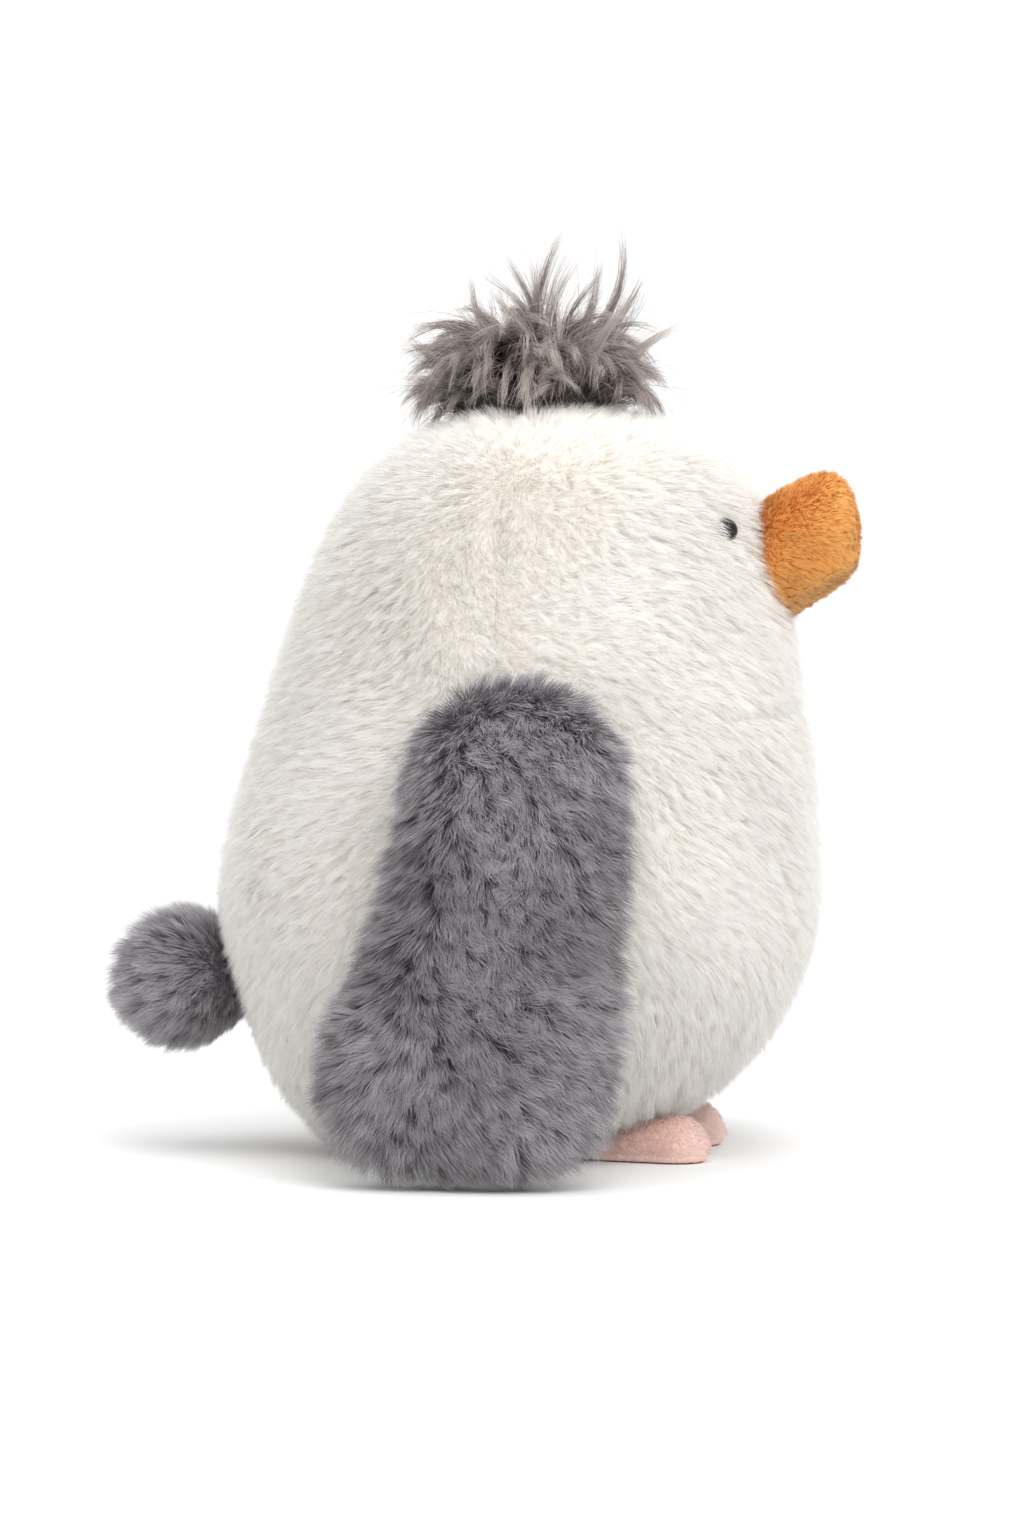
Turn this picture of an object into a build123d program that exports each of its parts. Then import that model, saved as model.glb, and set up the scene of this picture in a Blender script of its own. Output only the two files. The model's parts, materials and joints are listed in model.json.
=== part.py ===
"""A plush seabird toy: an egg-shaped stuffed body sewn from five panels, with stuffed wings, tail,
beak and feet, safety eyes and a tuft of long hair on its crown.

Millimetres. +Z is up, the bird faces -Y, and +X is its own left side. The origin lies in the plane of
the flattened base that it sits on, straight below the body's widest ring. Every panel's outer face is the
cloth under the pile; the pile itself stands proud of it.
"""

from build123d import *
import math
import os

# ---- Body ----------------------------------------------------------------------------------------
BODY_HEIGHT = 220.0  # floor to crown
BODY_DEPTH = 172.0  # front to back at the widest ring
BODY_WIDTH = 164.0  # side to side at the widest ring
WIDEST_HEIGHT = 80.0  # height of the widest ring
BASE_DROP = 5.0  # how far below the floor the round underside would reach if it weren't flattened
SHOULDER_TAPER = 0.37  # share of the radius that is lost between the widest ring and the crown
TAPER_POWER = 1.3
CROWN_SQUARENESS = 11.0  # how late, and so how tightly, the shoulders round over into the crown
CROWN_SHIFT = 11.5  # how far forward the crown's middle leans
BASE_SHIFT = 19.0  # how far back the underside's middle sits
BASE_SHIFT_POWER = 3
RING_STEPS = (
    (-0.86, -0.72, -0.56, -0.40, -0.22, 0.0)
    + (0.14, 0.28, 0.42, 0.56, 0.68, 0.78)
    + (0.86, 0.92, 0.96, 0.98, 0.992)
)

SKIN = 2.4  # backing cloth and the dense root of its pile
FILL_GAP = 0.4  # play between a skin and what fills it
SIDE_SEAM = -2.0  # the seam from the crown down each side lies in this plane of Y
FACE_SEAM_HEIGHT = 122.0  # where the seam under the face meets the side seam
FACE_SEAM_RISE = 8.2  # degrees that it rises towards the front
BASE_SEAM_HEIGHT = 12.0

# ---- Pellet pouch --------------------------------------------------------------------------------
POUCH_RADIUS = 43.0
POUCH_HEIGHT = 34.0
POUCH_ROUNDING = 15.0
POUCH_CLOTH = 0.8
POUCH_FLOOR = 9.0  # how much of the body's inside lies under the pouch
POUCH_BACK = 8.0

# ---- Eyes ----------------------------------------------------------------------------------------
EYE_DIAMETER = 7.4
EYE_BULGE = 2.8
EYE_CLEAR = 0.15  # between the bead's back and the face
EYE_RIM = 0.6  # straight edge of the bead, lost in the pile
EYE_SPREAD = 28.0  # each eye's distance from the middle
EYE_DROP = 35.5  # below the crown
SHANK_DIAMETER = 2.6
SHANK_LENGTH = 8.0
SHANK_PLAY = 0.1
WASHER_DIAMETER = 11.0
WASHER_THICKNESS = 1.4

# ---- Beak ----------------------------------------------------------------------------------------
BEAK_DROP = 44.5  # the middle of its root, below the crown
BEAK_HALF_HEIGHT = 17.4
BEAK_HALF_WIDTH = 17.0
BEAK_REACH = 26.0
BEAK_RISE = 10.0  # how far the beak's middle climbs over its reach
BEAK_SINK = 12.0  # length that is cut away inside the face
# share of the reach, share of the rise, share of the half height, share of the half width
BEAK_STATIONS = (
    (0.00, 0.00, 1.00, 1.00),
    (0.26, 0.40, 1.03, 1.04),
    (0.52, 0.76, 1.00, 1.02),
    (0.76, 0.98, 0.90, 0.90),
    (0.90, 0.97, 0.70, 0.68),
    (0.97, 0.88, 0.46, 0.44),
    (1.00, 0.84, 0.24, 0.22),
)
BEAK_SKIN = 1.6
BEAK_SEAM_DROP = 14.0  # the seam of the under panel, below the beak's middle
BEAK_SEAM_RISE = 31.0  # degrees

# ---- Tuft ----------------------------------------------------------------------------------------
TUFT_PATCH_LENGTH = 46.0
TUFT_PATCH_WIDTH = 34.0
TUFT_PATCH_CLOTH = 1.6
TUFT_BACK_OFFSET = 7.0  # the patch's middle, behind the crown's
MOUND_LENGTH = 54.0
MOUND_WIDTH = 42.0
MOUND_HEIGHT = 23.0
MOUND_FOOT = 14.0  # how far below the crown the mound's widest ring lies
MOUND_ANGLES = (0, 18, 36, 52, 66, 78, 84)
LOCK_RADIUS = 3.0
LOCK_TIP_RADIUS = 0.45
LOCK_GAP = 0.3
LOWEST_LOCK = 0.6  # sine of the lowest angle up the mound that a lock grows at
# each lock's tip from the mound's middle: forward, to the bird's left, up
LOCK_TIPS = (
    (8.0, 2.0, 56.0),
    (26.0, -8.0, 54.0),
    (-9.0, -10.0, 48.0),
    (-24.0, 6.0, 41.0),
    (-37.0, -4.0, 25.0),
    (43.0, 5.0, 27.0),
    (39.0, 20.0, 11.0),
    (29.0, 14.0, 44.0),
    (34.0, -20.0, 34.0),
    (16.0, 18.0, 50.0),
    (-30.0, -16.0, 10.0),
    (4.0, -24.0, 46.0),
    (-3.0, 32.0, 22.0),
    (9.0, -34.0, 20.0),
)

# ---- Wings ---------------------------------------------------------------------------------------
WING_ROOT_HEIGHT = 126.0  # height on the body's side of the seam that each wing hangs from
WING_ROOT_FRONT = 11.0  # the root's middle, in front of the origin
WING_LENGTH = 132.0
WING_TOP_WIDTH = 56.0
WING_TIP_WIDTH = 74.0
WING_SWEEP = 11.0  # how far the tip's middle lies behind the root's
WING_CORNER = 26.0
WING_THICKNESS = 18.0
WING_GAP = 0.6
WING_SKIN = 1.6
RIM_ANGLES = (-82, -55, -28, 0, 28, 55, 82)  # sections round the rim of a wing or the tail

# ---- Tail ----------------------------------------------------------------------------------------
TAIL_ROOT_HEIGHT = 55.0
TAIL_LENGTH = 33.0
TAIL_WIDTH = 46.0
TAIL_CORNER = 15.0
TAIL_THICKNESS = 28.0
TAIL_GAP = 0.6
TAIL_SKIN = 1.6

# ---- Feet ----------------------------------------------------------------------------------------
FOOT_LENGTH = 42.0
FOOT_WIDTH = 18.0
FOOT_HEIGHT = 13.0
FOOT_SPREAD = 19.0  # each heel's distance from the middle
FOOT_HEEL_FRONT = 27.0  # the heel's middle, in front of the origin
FOOT_SPLAY = 16.0  # degrees that each toe points outwards
FOOT_SWIVEL = 12.0  # degrees that a foot turns each way about its heel
FOOT_GAP = 0.8
FOOT_SKIN = 1.5
FOOT_SECTION_ANGLES = (0, 25, 50, 70, 82)  # sections up the foot's rounded top
FOOT_EDGE = 2.5  # height at which the foot is widest
FOOT_SOLE_TUCK = 1.6  # how far the sole's edge lies inside the widest outline

# ---- Closing stitches ----------------------------------------------------------------------------
STITCH_COUNT = 9
STITCH_PITCH = 3.5
STITCH_LENGTH = 4.0
THREAD_RADIUS = 0.35
STITCH_START_HEIGHT = 18.0
STITCH_CLEAR = 0.15


# ---- The body's surface as formulas --------------------------------------------------------------
def meridian(step):
    """(half depth, height, Y of the middle) of the body's ring at step: -1 is the underside's pole, 0 the
    widest ring and 1 the crown."""
    widest = BODY_DEPTH / 2
    if step <= 0:
        drop = math.sin(-step * math.pi / 2)
        radius = widest * math.cos(-step * math.pi / 2)
        height = WIDEST_HEIGHT - (WIDEST_HEIGHT + BASE_DROP) * drop
        return radius, height, BASE_SHIFT * drop**BASE_SHIFT_POWER
    radius = widest * (1 - SHOULDER_TAPER * step**TAPER_POWER) * math.sqrt(1 - step**CROWN_SQUARENESS)
    return radius, WIDEST_HEIGHT + (BODY_HEIGHT - WIDEST_HEIGHT) * step, -CROWN_SHIFT * step


def step_at(height):
    """The step of the ring at this height."""
    if height >= WIDEST_HEIGHT:
        return (height - WIDEST_HEIGHT) / (BODY_HEIGHT - WIDEST_HEIGHT)
    return -math.asin((WIDEST_HEIGHT - height) / (WIDEST_HEIGHT + BASE_DROP)) / (math.pi / 2)


def ring(step, inset):
    """(half width, half depth, height, Y of the middle) of the body's ring at step, moved in by inset."""
    nudge = 1e-4
    radius, height, middle = meridian(step)
    low, high = meridian(step - nudge), meridian(step + nudge)
    along, up = high[0] - low[0], high[1] - low[1]
    out, rise = up / math.hypot(along, up), -along / math.hypot(along, up)
    half_width = radius * BODY_WIDTH / BODY_DEPTH - inset * out
    return half_width, radius - inset * out, height - inset * rise, middle


def side_point(height):
    """(X, Z) of the body's left side at this height, and the outward direction there, in the plane of X
    and Z."""
    nudge = 0.01
    half_width = ring(step_at(height), 0)[0]
    slope = (ring(step_at(height + nudge), 0)[0] - ring(step_at(height - nudge), 0)[0]) / (2 * nudge)
    size = math.hypot(1, slope)
    return (half_width, height), (1 / size, -slope / size)


def surface_point(x, height, side):
    """The body's surface at this X and height, on the front (side -1) or the back (side 1)."""
    half_width, half_depth, _, middle = ring(step_at(height), 0)
    return Vector(x, middle + side * half_depth * math.sqrt(1 - (x / half_width) ** 2), height)


def surface_normal(x, height, side):
    """The body's outward direction at that point."""
    nudge = 0.05
    here = surface_point(x, height, side)
    along = surface_point(x + nudge, height, side) - surface_point(x - nudge, height, side)
    up = surface_point(x, height + nudge, side) - surface_point(x, height - nudge, side)
    normal = along.cross(up).normalized()
    return normal if normal.dot(here - Vector(0, 0, WIDEST_HEIGHT)) > 0 else -normal


def body_form(inset):
    """The whole body as one solid, moved inwards by inset, with its flattened base."""
    with BuildPart() as form:
        for step in RING_STEPS:
            half_width, half_depth, height, middle = ring(step, inset)
            with BuildSketch(Plane.XY.offset(height)):
                with Locations((0, middle)):
                    Ellipse(half_width, half_depth)
        loft()
        split(bisect_by=Plane.XY.offset(inset), keep=Keep.TOP)
    return form.part


BODY = body_form(0)
BODY_INSIDE = body_form(SKIN)
AROUND_BODY = body_form(-FILL_GAP)  # what is sewn on the body stops here

side_seam = Plane(origin=(0, SIDE_SEAM, 0), z_dir=(0, 1, 0))
face_tilt = math.radians(FACE_SEAM_RISE)
face_seam = Plane(
    origin=(0, SIDE_SEAM, FACE_SEAM_HEIGHT),
    z_dir=(0, math.sin(face_tilt), math.cos(face_tilt)),
)
base_seam = Plane.XY.offset(BASE_SEAM_HEIGHT)


def eye_plane(side):
    """The plane that an eye's bead sits on, facing out of the face."""
    x = side * EYE_SPREAD
    height = BODY_HEIGHT - EYE_DROP
    return Plane(origin=surface_point(x, height, -1), z_dir=surface_normal(x, height, -1))


# ---- Body panels ---------------------------------------------------------------------------------
def back_panel(side):
    """The half of the back on the bird's left (side 1) or right (side -1)."""
    with BuildPart() as panel:
        add(BODY)
        add(BODY_INSIDE, mode=Mode.SUBTRACT)
        split(bisect_by=side_seam, keep=Keep.TOP)
        split(bisect_by=base_seam, keep=Keep.TOP)
        split(bisect_by=Plane.YZ, keep=Keep.TOP if side > 0 else Keep.BOTTOM)
    return panel.part


def eye_holes():
    """Cuts the hole for each eye's shank through the part being built."""
    for side in (-1, 1):
        with Locations(eye_plane(side)):
            Cylinder(SHANK_DIAMETER / 2 + SHANK_PLAY, 4 * SKIN, mode=Mode.SUBTRACT)


with BuildPart() as face_panel:
    add(BODY)
    add(BODY_INSIDE, mode=Mode.SUBTRACT)
    split(bisect_by=side_seam, keep=Keep.BOTTOM)
    split(bisect_by=face_seam, keep=Keep.TOP)
    eye_holes()

with BuildPart() as belly_panel:
    add(BODY)
    add(BODY_INSIDE, mode=Mode.SUBTRACT)
    split(bisect_by=side_seam, keep=Keep.BOTTOM)
    split(bisect_by=face_seam, keep=Keep.BOTTOM)
    split(bisect_by=base_seam, keep=Keep.TOP)

with BuildPart() as base_panel:
    add(BODY)
    add(BODY_INSIDE, mode=Mode.SUBTRACT)
    split(bisect_by=base_seam, keep=Keep.BOTTOM)


# ---- Pouch of pellets, in the bottom of the filling ----------------------------------------------
def pouch_form(inset):
    """The pouch's round, cushion-like shape, moved inwards by inset."""
    middle = SKIN + FILL_GAP + POUCH_FLOOR + POUCH_HEIGHT / 2
    with BuildPart() as form:
        with Locations((0, POUCH_BACK, middle)):
            Cylinder(POUCH_RADIUS - inset, POUCH_HEIGHT - 2 * inset)
        fillet(form.edges().filter_by(GeomType.CIRCLE), POUCH_ROUNDING - inset)
    return form.part


with BuildPart() as pellet_pouch:
    add(pouch_form(0))
    add(pouch_form(POUCH_CLOTH), mode=Mode.SUBTRACT)

with BuildPart() as pellet_fill:
    add(pouch_form(POUCH_CLOTH + FILL_GAP))

# ---- Body stuffing, with room for the pouch and for each eye's shank and washer ------------------
with BuildPart() as body_stuffing:
    add(body_form(SKIN + FILL_GAP))
    add(pouch_form(-FILL_GAP), mode=Mode.SUBTRACT)
    for eye_side in (-1, 1):
        with Locations(eye_plane(eye_side)):
            Cylinder(
                WASHER_DIAMETER / 2 + FILL_GAP,
                SKIN + SHANK_LENGTH,
                align=(Align.CENTER, Align.CENTER, Align.MAX),
                mode=Mode.SUBTRACT,
            )


# ---- Safety eyes: a domed bead with a shank, and the washer that locks it behind the face --------
def eye(side):
    """A bead on its shank. The dome is a slice of a sphere with the bead's diameter as its chord."""
    radius = EYE_DIAMETER / 2
    sphere = (radius**2 + EYE_BULGE**2) / (2 * EYE_BULGE)
    plane = eye_plane(side).offset(EYE_CLEAR)
    with BuildPart() as bead:
        with BuildSketch(plane):
            Circle(radius)
        extrude(amount=EYE_RIM)
        with BuildSketch(Plane(origin=plane.offset(EYE_RIM).origin, x_dir=plane.x_dir, z_dir=plane.y_dir)):
            with BuildLine():
                dome = ThreePointArc(
                    (radius, 0),
                    (
                        sphere * math.sin(math.asin(radius / sphere) / 2),
                        -EYE_BULGE + sphere * (1 - math.cos(math.asin(radius / sphere) / 2)),
                    ),
                    (0, -EYE_BULGE),
                )
                Polyline(dome @ 1, (0, 0), dome @ 0)
            make_face()
        revolve(axis=Axis(plane.origin, plane.z_dir))
        with BuildSketch(plane):
            Circle(SHANK_DIAMETER / 2)
        extrude(amount=-SHANK_LENGTH)
    return bead.part


def eye_washer(side):
    """The locking washer, on the shank behind the face panel."""
    with BuildPart() as washer:
        with BuildSketch(eye_plane(side).offset(-(SKIN + 2 * FILL_GAP + WASHER_THICKNESS))):
            Circle(WASHER_DIAMETER / 2)
            Circle(SHANK_DIAMETER / 2 + SHANK_PLAY, mode=Mode.SUBTRACT)
        extrude(amount=WASHER_THICKNESS)
    return washer.part


# ---- Beak ----------------------------------------------------------------------------------------
BEAK_ROOT = surface_point(0, BODY_HEIGHT - BEAK_DROP, -1)


def beak_form(inset):
    """The beak as one solid, moved inwards by inset. Its sections stand upright and climb to the tip."""
    with BuildPart() as form:
        sunk = (-BEAK_SINK / BEAK_REACH, -BEAK_RISE / BEAK_REACH, 1.0, 1.0)
        for reach, rise, tall, wide in (sunk, *BEAK_STATIONS):
            at = Plane(
                origin=(0, BEAK_ROOT.Y - (BEAK_REACH - inset) * reach, BEAK_ROOT.Z + BEAK_RISE * rise),
                x_dir=(1, 0, 0),
                z_dir=(0, -1, 0),
            )
            with BuildSketch(at):
                Ellipse(BEAK_HALF_WIDTH * wide - inset, BEAK_HALF_HEIGHT * tall - inset)
        loft()
        add(AROUND_BODY, mode=Mode.SUBTRACT)
    return form.part


beak_tilt = math.radians(BEAK_SEAM_RISE)
beak_seam = Plane(
    origin=BEAK_ROOT - Vector(0, 0, BEAK_SEAM_DROP),
    z_dir=(0, math.sin(beak_tilt), math.cos(beak_tilt)),
)
BEAK = beak_form(0)
BEAK_INSIDE = beak_form(BEAK_SKIN)


def beak_panel(keep):
    """The upper or the under panel of the beak's skin."""
    with BuildPart() as panel:
        add(BEAK)
        add(BEAK_INSIDE, mode=Mode.SUBTRACT)
        split(bisect_by=beak_seam, keep=keep)
    return panel.part


# ---- Tuft ----------------------------------------------------------------------------------------
TUFT_MIDDLE = Vector(0, -CROWN_SHIFT + TUFT_BACK_OFFSET, BODY_HEIGHT)

with BuildPart() as tuft_patch:
    with BuildSketch(Plane.XY.offset(WIDEST_HEIGHT)):
        with Locations((TUFT_MIDDLE.X, TUFT_MIDDLE.Y)):
            Ellipse(TUFT_PATCH_WIDTH / 2, TUFT_PATCH_LENGTH / 2)
    extrude(amount=BODY_HEIGHT)
    add(body_form(-FILL_GAP - TUFT_PATCH_CLOTH), mode=Mode.INTERSECT)
    add(AROUND_BODY, mode=Mode.SUBTRACT)

with BuildPart() as tuft_mound:
    for angle in MOUND_ANGLES:
        share, climb = math.cos(math.radians(angle)), math.sin(math.radians(angle))
        with BuildSketch(Plane.XY.offset(TUFT_MIDDLE.Z - MOUND_FOOT + (MOUND_HEIGHT + MOUND_FOOT) * climb)):
            with Locations((TUFT_MIDDLE.X, TUFT_MIDDLE.Y)):
                Ellipse(MOUND_WIDTH / 2 * share, MOUND_LENGTH / 2 * share)
    loft()
    add(body_form(-2 * FILL_GAP - TUFT_PATCH_CLOTH), mode=Mode.SUBTRACT)


def lock(tip):
    """One curved, tapered lock of hair, from just off the mound's surface to its tip."""
    forward, left, up = tip
    end = TUFT_MIDDLE + Vector(left, -forward, up)
    rise = MOUND_HEIGHT + MOUND_FOOT
    out = Vector(left / MOUND_WIDTH, -forward / MOUND_LENGTH, up / (2 * MOUND_HEIGHT)).normalized()
    climb = max(out.Z, LOWEST_LOCK)
    spread = math.sqrt(1 - climb**2) / math.hypot(out.X, out.Y)
    across, ahead = out.X * spread, out.Y * spread
    off = Vector(across * MOUND_WIDTH / 2, ahead * MOUND_LENGTH / 2, climb * rise - MOUND_FOOT)
    root = TUFT_MIDDLE + off
    normal = Vector(across / (MOUND_WIDTH / 2), ahead / (MOUND_LENGTH / 2), climb / rise).normalized()
    start = root + normal * LOCK_GAP
    knee = start + normal * ((end - start).length * 0.5)
    with BuildPart() as hair:
        for share in (0.0, 0.25, 0.5, 0.75, 1.0):
            at = start * (1 - share) ** 2 + knee * (2 * share * (1 - share)) + end * share**2
            along = (knee - start) * (1 - share) + (end - knee) * share
            with BuildSketch(Plane(origin=at, z_dir=along.normalized())):
                Circle(LOCK_TIP_RADIUS + (LOCK_RADIUS - LOCK_TIP_RADIUS) * (1 - share) ** 0.8)
        loft()
    return hair.part


# ---- Stuffed wings and tail ----------------------------------------------------------------------

def pillow(plane, corners, corner_radius, thickness, inset):
    """A flat stuffed shape with a half-round rim, moved inwards by inset. corners is the outline shrunk by
    corner_radius, in the plane's own axes."""
    rim = thickness / 2 - inset
    with BuildPart() as form:
        for angle in RIM_ANGLES:
            tuck = rim * (1 - math.cos(math.radians(angle)))
            with BuildSketch(plane.offset(rim * math.sin(math.radians(angle)))):
                with BuildLine():
                    Polyline(*corners, close=True)
                make_face()
                offset(amount=corner_radius - inset - tuck)
        loft()
    return form.part


def wing_hinge():
    """(X, Z) of the left wing's hinge line: half the wing's thickness off the body's side."""
    (x, z), (out, rise) = side_point(WING_ROOT_HEIGHT)
    away = WING_THICKNESS / 2 + WING_GAP
    return x + out * away, z + rise * away


def wing_lean():
    """The angle from upright, in radians, at which a wing lies on the body's widest part."""
    hinge_x, hinge_z = wing_hinge()
    away = WING_THICKNESS / 2 + WING_GAP
    lean = 0.0
    for height in range(round(WIDEST_HEIGHT / 2), round(hinge_z - WING_THICKNESS)):
        (x, z), _ = side_point(height)
        reach = math.hypot(x - hinge_x, z - hinge_z)
        lean = max(lean, math.atan2(x - hinge_x, hinge_z - z) + math.asin(away / reach))
    return lean


HINGE_X, HINGE_Z = wing_hinge()
LEAN = wing_lean()
WING_PLANE = Plane(
    origin=(HINGE_X, -WING_ROOT_FRONT, HINGE_Z),
    x_dir=(0, 1, 0),
    z_dir=(math.cos(LEAN), 0, math.sin(LEAN)),
)
WING_TOP = WING_THICKNESS / 2 - WING_CORNER
WING_BOTTOM = WING_THICKNESS / 2 - WING_LENGTH + WING_CORNER
WING_CORNERS = (
    (-WING_TOP_WIDTH / 2 + WING_CORNER, WING_TOP),
    (WING_TOP_WIDTH / 2 - WING_CORNER, WING_TOP),
    (WING_SWEEP + WING_TIP_WIDTH / 2 - WING_CORNER, WING_BOTTOM),
    (WING_SWEEP - WING_TIP_WIDTH / 2 + WING_CORNER, WING_BOTTOM),
)
WING = pillow(WING_PLANE, WING_CORNERS, WING_CORNER, WING_THICKNESS, 0)
WING_INSIDE = pillow(WING_PLANE, WING_CORNERS, WING_CORNER, WING_THICKNESS, WING_SKIN)

tail_root = surface_point(0, TAIL_ROOT_HEIGHT, 1)
tail_out = surface_normal(0, TAIL_ROOT_HEIGHT, 1)
TAIL_HINGE = tail_root + tail_out * (TAIL_THICKNESS / 2 + TAIL_GAP)
TAIL_PLANE = Plane(origin=TAIL_HINGE, x_dir=(1, 0, 0), z_dir=(0, 0, 1))
TAIL_NEAR = -TAIL_THICKNESS / 2 + TAIL_CORNER
TAIL_FAR = -TAIL_THICKNESS / 2 + TAIL_LENGTH - TAIL_CORNER
TAIL_SIDE = TAIL_WIDTH / 2 - TAIL_CORNER
TAIL_CORNERS = (
    (-TAIL_SIDE, TAIL_NEAR),
    (TAIL_SIDE, TAIL_NEAR),
    (TAIL_SIDE, TAIL_FAR),
    (-TAIL_SIDE, TAIL_FAR),
)
TAIL = pillow(TAIL_PLANE, TAIL_CORNERS, TAIL_CORNER, TAIL_THICKNESS, 0)
TAIL_INSIDE = pillow(TAIL_PLANE, TAIL_CORNERS, TAIL_CORNER, TAIL_THICKNESS, TAIL_SKIN)


def pillow_panel(whole, inside, plane, keep):
    """Half the skin of a stuffed shape: the side that plane's normal points to, or the other."""
    with BuildPart() as panel:
        add(whole)
        add(inside, mode=Mode.SUBTRACT)
        split(bisect_by=plane, keep=keep)
    return panel.part


# ---- Feet ----------------------------------------------------------------------------------------
FOOT_HEEL = Vector(FOOT_SPREAD, -FOOT_HEEL_FRONT, 0)
FOOT_SPINE = FOOT_LENGTH - FOOT_WIDTH  # between the middles of the heel's and the toe's round ends


def foot_form(inset, clearance):
    """The left foot as one solid, moved inwards by inset: a rounded pad with a flat sole, pressed into the
    belly's shape over its whole swivel, and clear of it by clearance."""
    splay = math.radians(FOOT_SPLAY)
    toe_way = Vector(math.sin(splay), -math.cos(splay), 0)
    middle = FOOT_HEEL + toe_way * (FOOT_SPINE / 2)
    top = FOOT_HEIGHT - inset
    with BuildPart() as form:
        outlines = [(inset, inset + FOOT_SOLE_TUCK)]
        for angle in FOOT_SECTION_ANGLES:
            tuck = (FOOT_WIDTH / 2 - inset) * (1 - math.cos(math.radians(angle)))
            climb = (top - FOOT_EDGE - inset) * math.sin(math.radians(angle))
            outlines.append((FOOT_EDGE + inset + climb, inset + tuck))
        for height, tuck in outlines:
            with BuildSketch(Plane(origin=middle + Vector(0, 0, height), x_dir=toe_way, z_dir=(0, 0, 1))):
                SlotOverall(FOOT_LENGTH - 2 * tuck, FOOT_WIDTH - 2 * tuck)
        loft()
        around = body_form(-clearance)
        for turn in (-FOOT_SWIVEL, 0, FOOT_SWIVEL):
            add(around.rotate(Axis(FOOT_HEEL, (0, 0, 1)), turn), mode=Mode.SUBTRACT)
    return form.part


FOOT = foot_form(0, FOOT_GAP)
FOOT_INSIDE = foot_form(FOOT_SKIN, FOOT_GAP + FOOT_SKIN)
FOOT_FILL = foot_form(FOOT_SKIN + FILL_GAP, FOOT_GAP + FOOT_SKIN + FILL_GAP)
sole_seam = Plane.XY.offset(FOOT_EDGE)

with BuildPart() as foot_upper:
    add(FOOT)
    add(FOOT_INSIDE, mode=Mode.SUBTRACT)
    split(bisect_by=sole_seam, keep=Keep.TOP)

with BuildPart() as foot_sole:
    add(FOOT)
    add(FOOT_INSIDE, mode=Mode.SUBTRACT)
    split(bisect_by=sole_seam, keep=Keep.BOTTOM)

# ---- Stitches that close the back seam after filling ---------------------------------------------
with BuildPart() as closing_stitches:
    for number in range(STITCH_COUNT):
        stitch_height = STITCH_START_HEIGHT + number * STITCH_PITCH
        away = STITCH_CLEAR + THREAD_RADIUS
        at = surface_point(0, stitch_height, 1) + surface_normal(0, stitch_height, 1) * away
        with Locations(Plane(origin=at, z_dir=(1, 0, 0))):
            Cylinder(THREAD_RADIUS, STITCH_LENGTH)

# ---- Export --------------------------------------------------------------------------------------
MIRROR = Plane.YZ
pieces = {
    "back_panel_left": back_panel(1),
    "back_panel_right": back_panel(-1),
    "face_panel": face_panel.part,
    "belly_panel": belly_panel.part,
    "base_panel": base_panel.part,
    "body_stuffing": body_stuffing.part,
    "pellet_pouch": pellet_pouch.part,
    "pellet_fill": pellet_fill.part,
    "eye_left": eye(1),
    "eye_right": eye(-1),
    "eye_washer_left": eye_washer(1),
    "eye_washer_right": eye_washer(-1),
    "beak_upper_panel": beak_panel(Keep.TOP),
    "beak_under_panel": beak_panel(Keep.BOTTOM),
    "beak_stuffing": beak_form(BEAK_SKIN + FILL_GAP),
    "tuft_patch": tuft_patch.part,
    "tuft_mound": tuft_mound.part,
    "tuft_locks": Compound(children=[lock(tip) for tip in LOCK_TIPS]),
    "closing_stitches": closing_stitches.part,
    "wing_outer_panel_left": pillow_panel(WING, WING_INSIDE, WING_PLANE, Keep.TOP),
    "wing_inner_panel_left": pillow_panel(WING, WING_INSIDE, WING_PLANE, Keep.BOTTOM),
    "wing_stuffing_left": pillow(
        WING_PLANE, WING_CORNERS, WING_CORNER, WING_THICKNESS, WING_SKIN + FILL_GAP
    ),
    "tail_upper_panel": pillow_panel(TAIL, TAIL_INSIDE, TAIL_PLANE, Keep.TOP),
    "tail_under_panel": pillow_panel(TAIL, TAIL_INSIDE, TAIL_PLANE, Keep.BOTTOM),
    "tail_stuffing": pillow(TAIL_PLANE, TAIL_CORNERS, TAIL_CORNER, TAIL_THICKNESS, TAIL_SKIN + FILL_GAP),
    "foot_upper_left": foot_upper.part,
    "foot_sole_left": foot_sole.part,
    "foot_stuffing_left": FOOT_FILL,
}
WING_PIECES = ("wing_outer_panel", "wing_inner_panel", "wing_stuffing")
FOOT_PIECES = ("foot_upper", "foot_sole", "foot_stuffing")
for name in (*WING_PIECES, *FOOT_PIECES):
    pieces[name + "_right"] = pieces[name + "_left"].mirror(MIRROR)

os.makedirs("parts", exist_ok=True)
for name, piece in pieces.items():
    piece.label = name
    export_step(piece, f"parts/{name}.step")

print("wing hinge X, Z:", round(HINGE_X, 3), round(HINGE_Z, 3))
print("wing lean in degrees:", round(math.degrees(LEAN), 3))
print("tail hinge Y, Z:", round(TAIL_HINGE.Y, 3), round(TAIL_HINGE.Z, 3))
print("foot heel X, Y:", round(FOOT_HEEL.X, 3), round(FOOT_HEEL.Y, 3))
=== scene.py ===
"""The looks of a plush seabird toy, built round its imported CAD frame: stuffed cloth skins with
seams, and every pile on them as combed, clumped mesh strands.

Metres. +Z is up, the bird faces -Y and +X is its own left side.
"""

import json
import math

import bmesh
import bpy
import numpy as np
from mathutils import Matrix, Vector
from mathutils.bvhtree import BVHTree
from mathutils.kdtree import KDTree


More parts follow.
